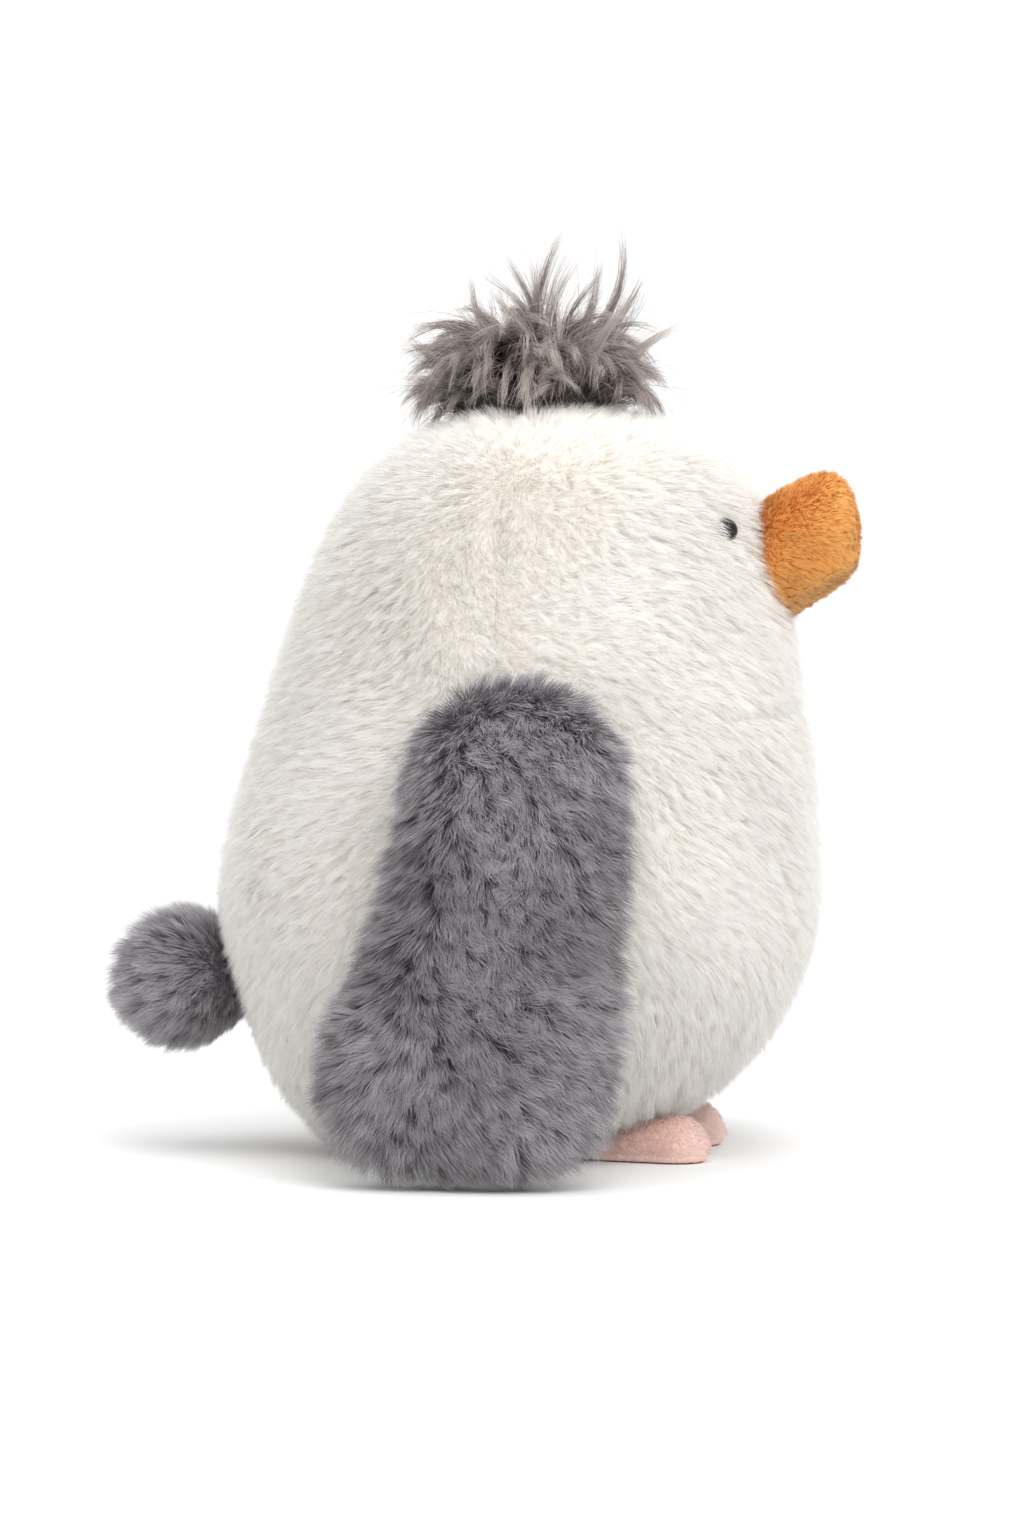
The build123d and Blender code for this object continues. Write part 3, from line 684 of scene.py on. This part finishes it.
# ---- Wings and tail: pads blown up by a cloth simulation -----------------------------------------
def inflated(name, node, swell, grow, voxel, still=None):
    """The mesh of a pad that fills a CAD solid, puffed out by at most swell and then grown evenly
    by grow. The side that faces the direction still keeps its place."""
    source = frame["nodes"][node].data.copy()
    pad = bpy.data.objects.new(name, source)
    bpy.context.scene.collection.objects.link(pad)
    remesh = pad.modifiers.new("Remesh", "REMESH")
    remesh.mode = "VOXEL"
    remesh.voxel_size = voxel
    flat = evaluated(pad, name + "_flat")
    pad.modifiers.clear()
    pad.data = flat
    before = points_of(flat)
    cloth = pad.modifiers.new("Cloth", "CLOTH")
    cloth.settings.use_pressure = True
    cloth.settings.uniform_pressure_force = CLOTH_PRESSURE
    cloth.settings.effector_weights.gravity = 0
    cloth.point_cache.frame_start = 1
    cloth.point_cache.frame_end = CLOTH_FRAMES
    for number in range(1, CLOTH_FRAMES + 1):
        bpy.context.scene.frame_set(number)
    after = points_of(evaluated(pad, name + "_blown"))
    pad.modifiers.clear()
    bpy.context.scene.frame_set(1)
    moved = (after - before) * freedom(flat, still)
    far = np.linalg.norm(moved, axis=1, keepdims=True)
    before = before + moved * np.minimum(1, swell / np.maximum(far, 1e-9))
    flat.vertices.foreach_set("co", before.reshape(-1))
    smooth = pad.modifiers.new("Round", "SUBSURF")
    smooth.levels = 1
    result = evaluated(pad, name)
    grown = points_of(result) + normals_of(result) * freedom(result, still) * grow
    result.vertices.foreach_set("co", grown.reshape(-1))
    result.update()
    bpy.data.objects.remove(pad)
    return result


def freedom(data, still):
    """How freely each vertex moves: not at all where it faces the direction still, and fully at
    the rim and beyond."""
    if still is None:
        return 1.0
    return np.clip(1 - 1.3 * (normals_of(data) @ still), 0, 1)[:, None]


def evaluated(obj, name):
    """A copy of an object's mesh with its modifiers applied."""
    graph = bpy.context.evaluated_depsgraph_get()
    graph.update()
    data = bpy.data.meshes.new_from_object(obj.evaluated_get(graph))
    data.name = name
    return data


def flat_axis(points):
    """The middle of a flat pad, and the direction across its thickness."""
    middle = points.mean(0)
    _, _, axes = np.linalg.svd(points - middle, full_matrices=False)
    return middle, axes[2]


def mirrored(data, name):
    """A copy of a mesh for the other side of the bird."""
    copy = data.copy()
    copy.name = name
    copy.transform(Matrix.Scale(-1, 4, (1, 0, 0)))
    copy.flip_normals()
    return copy


def halves(data, middle, across):
    """The two panels of a pad, cut at its rim."""
    whole = bmesh.new()
    whole.from_mesh(data)
    return cut(whole, middle, across, True), cut(whole, middle, across, False)


wing_left = inflated(
    "wing_pad", "wing_stuffing_left", swell=4.5 * MM, grow=3.2 * MM, voxel=4 * MM,
    still=np.array([-1.0, 0, 0]),
)
wing_pads = {"left": wing_left, "right": mirrored(wing_left, "wing_pad_right")}
wing_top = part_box("wing_outer_panel_left")[1][2]
wing_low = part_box("wing_outer_panel_left")[0][2]


def wing_fall(points):
    """How far down the wing each point is, from 0 to 1."""
    return np.clip((wing_top - points[:, 2]) / (wing_top - wing_low), 0, 1)


def wing_flow(points):
    """From a parting down the middle, out to both edges and down to the tip."""
    fall = wing_fall(points)
    parting = (6 + 14 * fall) * MM
    lean = np.clip((points[:, 1] - parting) / (16 * MM), -1, 1)
    way = np.zeros_like(points)
    way[:, 1] = lean * (0.35 + 0.55 * fall)
    way[:, 2] = -0.85
    return way + 0.35 * swirl_of(points, 40 * MM, 51)


def wing_painted_top_light(points):
    """Painted light: lighter along the top, where the pad curves up towards the lamps, and darker
    over the middle.
    """
    fall = wing_fall(points)
    return 0.6 * np.exp(-((fall / 0.22) ** 2)) - 0.3 * np.exp(-(((fall - 0.5) / 0.2) ** 2))


def wing_share(points):
    """Full pile all over, a little longer along the bottom."""
    return 0.85 + 0.2 * wing_fall(points)


for number, (side, sign) in enumerate(SIDES):
    middle, across = flat_axis(points_of(wing_pads[side]))
    across = across * np.sign(across[0]) * sign
    outer, inner = halves(wing_pads[side], middle, across)
    for part, grid in (("outer", outer), ("inner", inner)):
        panel = f"wing_{part}_panel_{side}"
        replaced = [panel, f"wing_stuffing_{side}"] if part == "inner" else [panel]
        body, seed = f"wing_{side}", 300 + 20 * number + len(part)
        length, density = (12 * MM, 7.0) if part == "outer" else (8 * MM, 3.0)
        piece = skin(f"{panel}_skin", grid, GREY_CLOTH, body, "grey_plush", replaced)
        pile(
            f"{panel}_pile", piece.data, GREY_PILE, body, "grey_plush", seed, wing_flow,
            length=length, density=density, width=0.16 * MM, clump=2.6 * MM, pull=0.16, lift=24,
            lay=52, stray=18, shorter=wing_share, tone_wave=34 * MM, tone_depth=0.3,
            tone_at=wing_painted_top_light,
        )


tail_pad = inflated("tail_pad", "tail_stuffing", swell=4 * MM, grow=2.4 * MM, voxel=3 * MM)
tail_root_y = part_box("tail_upper_panel")[0][1]


def tail_flow(points):
    """Back along the tail, drooping at its end."""
    way = np.zeros_like(points)
    way[:, 1] = 1
    way[:, 2] = -0.35
    way[:, 0] = points[:, 0] * 18
    way[:, 0] += 0.4 * wander(points, 26 * MM, 61)
    way[:, 2] += 0.4 * wander(points, 26 * MM, 62)
    return way


def tail_share(points):
    """Short where the tail meets the body, and longest at its end."""
    return np.clip((points[:, 1] - tail_root_y) / (14 * MM), 0.35, 1)


tail_middle = middle_of("tail_upper_panel", "tail_under_panel")
for part, grid in zip(("upper", "under"), halves(tail_pad, tail_middle, (0, 0, 1))):
    panel = f"tail_{part}_panel"
    replaced = [panel, "tail_stuffing"] if part == "upper" else [panel]
    piece = skin(f"{panel}_skin", grid, GREY_CLOTH, "tail", "grey_plush", replaced)
    pile(
        f"{panel}_pile", piece.data, GREY_PILE, "tail", "grey_plush", 400 + len(part), tail_flow,
        length=11.5 * MM, density=7.0, width=0.15 * MM, clump=2.6 * MM, pull=0.22, lift=20,
        lay=50, stray=20, shorter=tail_share,
        tone_at=lambda points: np.full(len(points), TAIL_PAINTED_LIGHT),
    )


# ---- Beak ----------------------------------------------------------------------------------------
BEAK_PANELS = ("beak_upper_panel", "beak_under_panel")


def beak_seam_plane():
    """A point on the plane between the beak's two panels, and its upward normal, from the corners
    that they share."""
    upper, under = (points_of(mesh) for mesh in node_meshes(*BEAK_PANELS))
    shared = nearest(under, upper)
    close = np.linalg.norm(under - upper[shared], axis=1) < 0.02 * MM
    slope, height = np.polyfit(under[close, 1], under[close, 2], 1)
    return Vector((0, 0, height)), Vector((0, -slope, 1)).normalized()


beak_point, beak_normal = beak_seam_plane()
beak_grid = wrapped(BEAK_PANELS, BEAK_ROWS)
beak_root_y = max(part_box(panel)[1][1] for panel in BEAK_PANELS)
beak_middle = middle_of(*BEAK_PANELS)


def beak_flow(points):
    """Out along the beak, a little down."""
    way = np.zeros_like(points)
    way[:, 1] = -1
    way[:, 2] = -0.35
    way[:, 0] += 0.35 * wander(points, 14 * MM, 71)
    way[:, 2] += 0.35 * wander(points, 14 * MM, 72)
    return way


for part, material, cloth, slot, keep in (
    ("upper", ORANGE_PILE, ORANGE_CLOTH, "orange_minky", True),
    ("under", PALE_ORANGE_PILE, PALE_ORANGE_CLOTH, "orange_under_minky", False),
):
    panel = f"beak_{part}_panel"
    grid = cut(beak_grid, beak_point, beak_normal, keep)
    piece = skin(f"{panel}_skin", grid, cloth, "body", slot, [panel])
    pile(
        f"{panel}_pile", piece.data, material, "body", slot, 500 + len(part), beak_flow,
        length=3.4 * MM, density=12, width=0.17 * MM, clump=1.3 * MM, pull=0.3, lift=20, lay=54,
        stray=14, levels=3, tone_wave=12 * MM,
    )


def beak_stitches():
    """Dark stitches along the seam between the beak's two panels."""
    half = cut(beak_grid, beak_point, beak_normal, True)
    rim = [v for v in half.verts if abs((v.co - beak_point).dot(beak_normal)) < 0.01 * MM]
    rim = np.array([v.co for v in rim if v.co.y < beak_root_y - STITCH_ROOT_GAP])
    rim = rim[np.argsort(np.arctan2(rim[:, 0], -(rim[:, 1] - beak_root_y)))]
    gaps = np.append(0, np.cumsum(np.linalg.norm(np.diff(rim, axis=0), axis=1)))
    whole = bmesh.new()
    for at in np.arange(STITCH_PITCH / 2, gaps[-1], STITCH_PITCH):
        spot, ahead = (
            Vector([np.interp(at + step, gaps, rim[:, i]) for i in range(3)])
            for step in (0, 0.3 * MM)
        )
        way = (ahead - spot).normalized()
        out = way.cross(beak_normal).normalized()
        turn = Matrix((way, out, way.cross(out))).transposed().to_4x4()
        size = Matrix.Diagonal((STITCH_LENGTH / 2, STITCH_WIDTH / 2, STITCH_WIDTH / 2, 1))
        lift = Matrix.Translation(spot + (spot - beak_middle).normalized() * STITCH_LIFT)
        bmesh.ops.create_icosphere(whole, subdivisions=2, radius=1, matrix=lift @ turn @ size)
    data = as_mesh(whole, "beak_stitches")
    new_object("beak_seam_stitches", data, DARK_THREAD, "body", "orange_under_minky")


beak_stitches()


# ---- Feet ----------------------------------------------------------------------------------------
for side, sign in SIDES:
    parts = (f"foot_upper_{side}", f"foot_sole_{side}")
    body = f"foot_{side}"
    sole_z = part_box(parts[1])[1][2]
    heel = Vector(next(j for j in frame["joints"] if j["child"] == body)["pos_m"])
    grid = wrapped(parts, FOOT_ROWS)
    for vertex in grid.verts:
        vertex.co.z = max(vertex.co.z, FLOOR_CLEAR)

    def foot_flow(points, heel=heel):
        """Out from the heel."""
        way = points - np.array(heel)
        way[:, 2] = -0.3 * MM
        return way

    for part, keep in (("upper", True), ("sole", False)):
        node = f"foot_{part}_{side}"
        half = cut(grid, (0, 0, sole_z), (0, 0, 1), keep)
        piece = skin(f"{node}_skin", half, PINK_CLOTH, body, "pink_minky", [node])
        if part == "upper":
            pile(
                f"{node}_pile", piece.data, PINK_PILE, body, "pink_minky", 600 + sign, foot_flow,
                length=2.0 * MM, density=20, width=0.12 * MM, clump=1.2 * MM, pull=0.3, lift=20,
                lay=55, stray=14, levels=3, tone_wave=8 * MM,
            )


# ---- Tuft ----------------------------------------------------------------------------------------
def loose_parts(data):
    """The points of each separate solid in a mesh."""
    whole = bmesh.new()
    whole.from_mesh(data)
    bmesh.ops.remove_doubles(whole, verts=whole.verts, dist=1e-6)
    seen, parts = set(), []
    for start in whole.verts:
        if start in seen:
            continue
        stack, part = [start], []
        seen.add(start)
        while stack:
            vertex = stack.pop()
            part.append(tuple(vertex.co))
            for edge in vertex.link_edges:
                other = edge.other_vert(vertex)
                if other not in seen:
                    seen.add(other)
                    stack.append(other)
        parts.append(np.array(part))
    return parts


def spine(points, foot, count=7):
    """The middle line of one lock, from its root to its tip."""
    far = np.linalg.norm(points - foot, axis=1)
    edges = np.linspace(far.min(), far.max() + 1e-9, count + 1)
    rings = [(far >= a) & (far <= b) for a, b in zip(edges[:-1], edges[1:])]
    return np.array([points[ring].mean(0) for ring in rings])


def along(path, steps):
    """Points at these shares of a path's length."""
    gaps = np.linalg.norm(np.diff(path, axis=0), axis=1)
    at = np.append(0, np.cumsum(gaps)) / gaps.sum()
    return np.stack([np.interp(steps, at, path[:, i]) for i in range(3)], 1)


mound_low, mound_high = (np.array(corner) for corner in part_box("tuft_mound"))
mound_foot = np.append((mound_low + mound_high)[:2] / 2, mound_low[2])
mound_grid = wrapped(("tuft_mound",), MOUND_ROWS)
mound_data = as_mesh(mound_grid, "tuft_mound_core")
mound = new_object(
    "tuft_mound_core", mound_data, HAIR_CLOTH, "body", "long_hair", "tuft_mound"
)


def hair(name, seed, paths, tones, *nodes):
    """A piece of long hairs, which thin out to their tips and are shaded like the mound below."""
    rng = np.random.default_rng(seed)
    normals = unit(paths[:, SHADE_LEVEL] - mound_foot)
    levels = paths.shape[1]
    taper = np.linspace(1, 0.25, levels - 1) ** 0.8
    widths = HAIR_WIDTH * rng.uniform(0.7, 1.3, len(paths))[:, None] * taper[None]
    mesh = ribbons(name, paths, normals, widths, np.concatenate(tones), rng, twist=1.4)
    new_object(name, mesh, HAIR, "body", "long_hair", *nodes)


def sheaf(line, strands, thick, rng):
    """Hairs gathered round a line, which thin out towards its tip until a few are left."""
    steps = np.linspace(0, 1, len(line))
    reach = 1 - 0.55 * rng.random(strands) ** 1.3
    own = np.stack([along(line, steps * r) for r in reach])
    round_it = unit(rng.normal(0, 1, (strands, 3))) * rng.random((strands, 1)) ** 0.6
    narrow = (1 - steps[None] * reach[:, None]) ** 1.5 * thick + 0.3 * MM
    own += round_it[:, None] * narrow[:, :, None]
    waves = np.sin(steps[None] * rng.uniform(5, 11, (strands, 1)) + rng.uniform(0, 6, (strands, 1)))
    own += rng.normal(0, 0.5 * MM, (strands, 1, 3)) * (waves * steps)[:, :, None]
    loose = (rng.random(strands) < 0.16) * 3.6 * MM + 0.8 * MM
    drift = rng.normal(0, 1, (strands, 3)) * loose[:, None]
    return own + drift[:, None] * (steps**2)[None, :, None]


def lock_hair():
    """The long locks: each forks into a few curved sheaves that end in fine points."""
    rng = np.random.default_rng(700)
    steps = np.linspace(0, 1, 11)
    all_paths, all_tones = [], []
    for points in loose_parts(frame["nodes"]["tuft_locks"].data):
        line = spine(points, mound_foot)
        root = mound_foot + (line[0] - mound_foot) * 0.35
        line = along(np.concatenate([[root], line]), steps)
        chord = unit(line[-1] - line[0])
        for fork in range(LOCK_FORKS):
            main = fork == 0
            away, bow, sway = (unit(np.cross(chord, rng.normal(0, 1, 3))) for _ in range(3))
            share = 1.0 if main else rng.uniform(0.65, 0.95)
            own = line[0] + (along(line, steps * share) - line[0]) * LOCK_STRETCH
            own = own + away * (steps**1.7 * (1.5 if main else rng.uniform(6, 16)) * MM)[:, None]
            own = own + bow * (np.sin(steps * math.pi) * rng.uniform(2, 7) * MM)[:, None]
            waves = rng.uniform(4, 6.5) * steps + rng.uniform(0, 2 * math.pi)
            own = own + sway * (np.sin(waves) * steps * rng.uniform(2, 5) * MM)[:, None]
            strands = (MAIN_STRANDS if main else FORK_STRANDS) // 1
            all_paths.append(sheaf(own, strands, (5.0 if main else 3.2) * MM, rng))
            all_tones.append(0.5 + rng.normal(0, 0.14) + rng.normal(0, 0.12, strands))
    hair("tuft_locks_hair", 701, np.concatenate(all_paths), all_tones, "tuft_locks")


def base_hair():
    """The mop round the locks' roots: sheaves that rise, swing round and fall over outwards."""
    rng = np.random.default_rng(710)
    steps = np.linspace(0, 1, 10)
    half = (mound_high - mound_low) / 2
    all_paths, all_tones = [], []
    for _ in range(MOP_SHEAVES):
        turn = rng.uniform(0, 2 * math.pi)
        out = math.sqrt(rng.uniform(0.01, 0.96))
        root = mound_foot + 2 * half * np.array(
            [math.cos(turn) * out / 2, math.sin(turn) * out / 2, 0.94 * math.sqrt(1 - out**2)]
        )
        heading = turn + rng.normal(0, 0.35) + rng.normal(0, 1.0) * steps
        climb = np.radians(rng.uniform(5, 60) - rng.uniform(80, 150) * steps)
        level = np.cos(climb)
        ways = np.stack([np.cos(heading) * level, np.sin(heading) * level, np.sin(climb)], 1)
        length = rng.uniform(22, 42) * MM * (1.15 - 0.55 * out)
        course = np.concatenate([[np.zeros(3)], np.cumsum(ways[:-1], 0)])
        line = root + course * length / (len(steps) - 1)
        strands = MOP_STRANDS
        all_paths.append(sheaf(line, strands, rng.uniform(2.6, 4.6) * MM, rng))
        all_tones.append(0.45 + rng.normal(0, 0.15) + rng.normal(0, 0.12, strands))
    paths = np.concatenate(all_paths)
    paths[:, :, 2] = np.maximum(paths[:, :, 2], tuft_low[2] - 1 * MM)
    hair("tuft_mass_hair", 711, paths, all_tones)


lock_hair()
base_hair()


# ---- CAD pieces that stay, with finished materials -----------------------------------------------
KEPT = {
    "body_stuffing": FIBRE,
    "beak_stuffing": FIBRE,
    "foot_stuffing_left": FIBRE,
    "foot_stuffing_right": FIBRE,
    "pellet_pouch": LINER,
    "pellet_fill": PELLETS,
    "eye_washer_left": WASHER,
    "eye_washer_right": WASHER,
    "eye_left": EYE_BLACK,
    "eye_right": EYE_BLACK,
    "closing_stitches": THREAD,
    "tuft_patch": HAIR_CLOTH,
}
for node, material in KEPT.items():
    for holder in frame["nodes"][node].material_slots:
        holder.material = material


# ---- Floor, light and camera ---------------------------------------------------------------------
def floor():
    """A white floor with painted shade: greyer towards its middle, where the lamps add most light,
    so that it runs into the white all round it.
    """
    sheet = bmesh.new()
    bmesh.ops.create_circle(sheet, cap_ends=True, segments=96, radius=FLOOR_RADIUS)
    data = as_mesh(sheet, "floor")
    piece = bpy.data.objects.new("floor", data)
    bpy.context.scene.collection.objects.link(piece)
    material, nodes, links, shader = new_material("floor white")
    place = nodes.new("ShaderNodeTexCoord")
    away = nodes.new("ShaderNodeVectorMath")
    away.operation = "LENGTH"
    links.new(place.outputs["Object"], away.inputs[0])
    share = nodes.new("ShaderNodeMath")
    share.operation = "DIVIDE"
    share.inputs[1].default_value = FLOOR_FADE
    links.new(away.outputs["Value"], share.inputs[0])
    tones = ramp(nodes, [(at, (grey, grey, grey, 1)) for at, grey in FLOOR_TONES])
    links.new(share.outputs["Value"], tones.inputs["Fac"])
    links.new(tones.outputs["Color"], shader.inputs["Base Color"])
    shader.inputs["Roughness"].default_value = 1.0
    shader.inputs["Specular IOR Level"].default_value = 0.0
    data.materials.append(material)


def area_light(name, place, size, power):
    """A white disk lamp that points at the toy."""
    lamp = bpy.data.lights.new(name, "AREA")
    lamp.shape = "DISK"
    lamp.size = size
    lamp.energy = power
    holder = bpy.data.objects.new(name, lamp)
    holder.location = place
    holder.rotation_euler = (LAMP_AIM - Vector(place)).to_track_quat("-Z", "Y").to_euler()
    bpy.context.scene.collection.objects.link(holder)


def studio():
    """A white room: light from all round, with soft boxes in front and above."""
    world = bpy.data.worlds.new("studio")
    world.use_nodes = True
    world.node_tree.nodes["Background"].inputs["Color"].default_value = (1, 1, 1, 1)
    world.node_tree.nodes["Background"].inputs["Strength"].default_value = 1.08
    bpy.context.scene.world = world
    bpy.context.scene.view_settings.view_transform = "Standard"
    area_light("soft box in front", (-1.15, -0.6, 1.15), 1.3, 19)
    area_light("soft box above", (0.1, 0.2, 1.8), 1.6, 8)


def camera():
    """The view from the bird's right, level with its middle and a little to its front."""
    azimuth, elevation, distance = math.radians(-82), math.radians(0.5), 1.25
    target = Vector((0.0, 2.4 * MM, 115 * MM))
    back = Vector(
        (
            math.sin(azimuth) * math.cos(elevation),
            -math.cos(azimuth) * math.cos(elevation),
            math.sin(elevation),
        )
    )
    lens = bpy.data.cameras.new("camera")
    lens.lens = 97.6
    lens.sensor_width = 36
    holder = bpy.data.objects.new("camera", lens)
    holder.location = target + back * distance
    holder.rotation_euler = (-back).to_track_quat("-Z", "Y").to_euler()
    bpy.context.scene.collection.objects.link(holder)
    bpy.context.scene.camera = holder


floor()
studio()
camera()
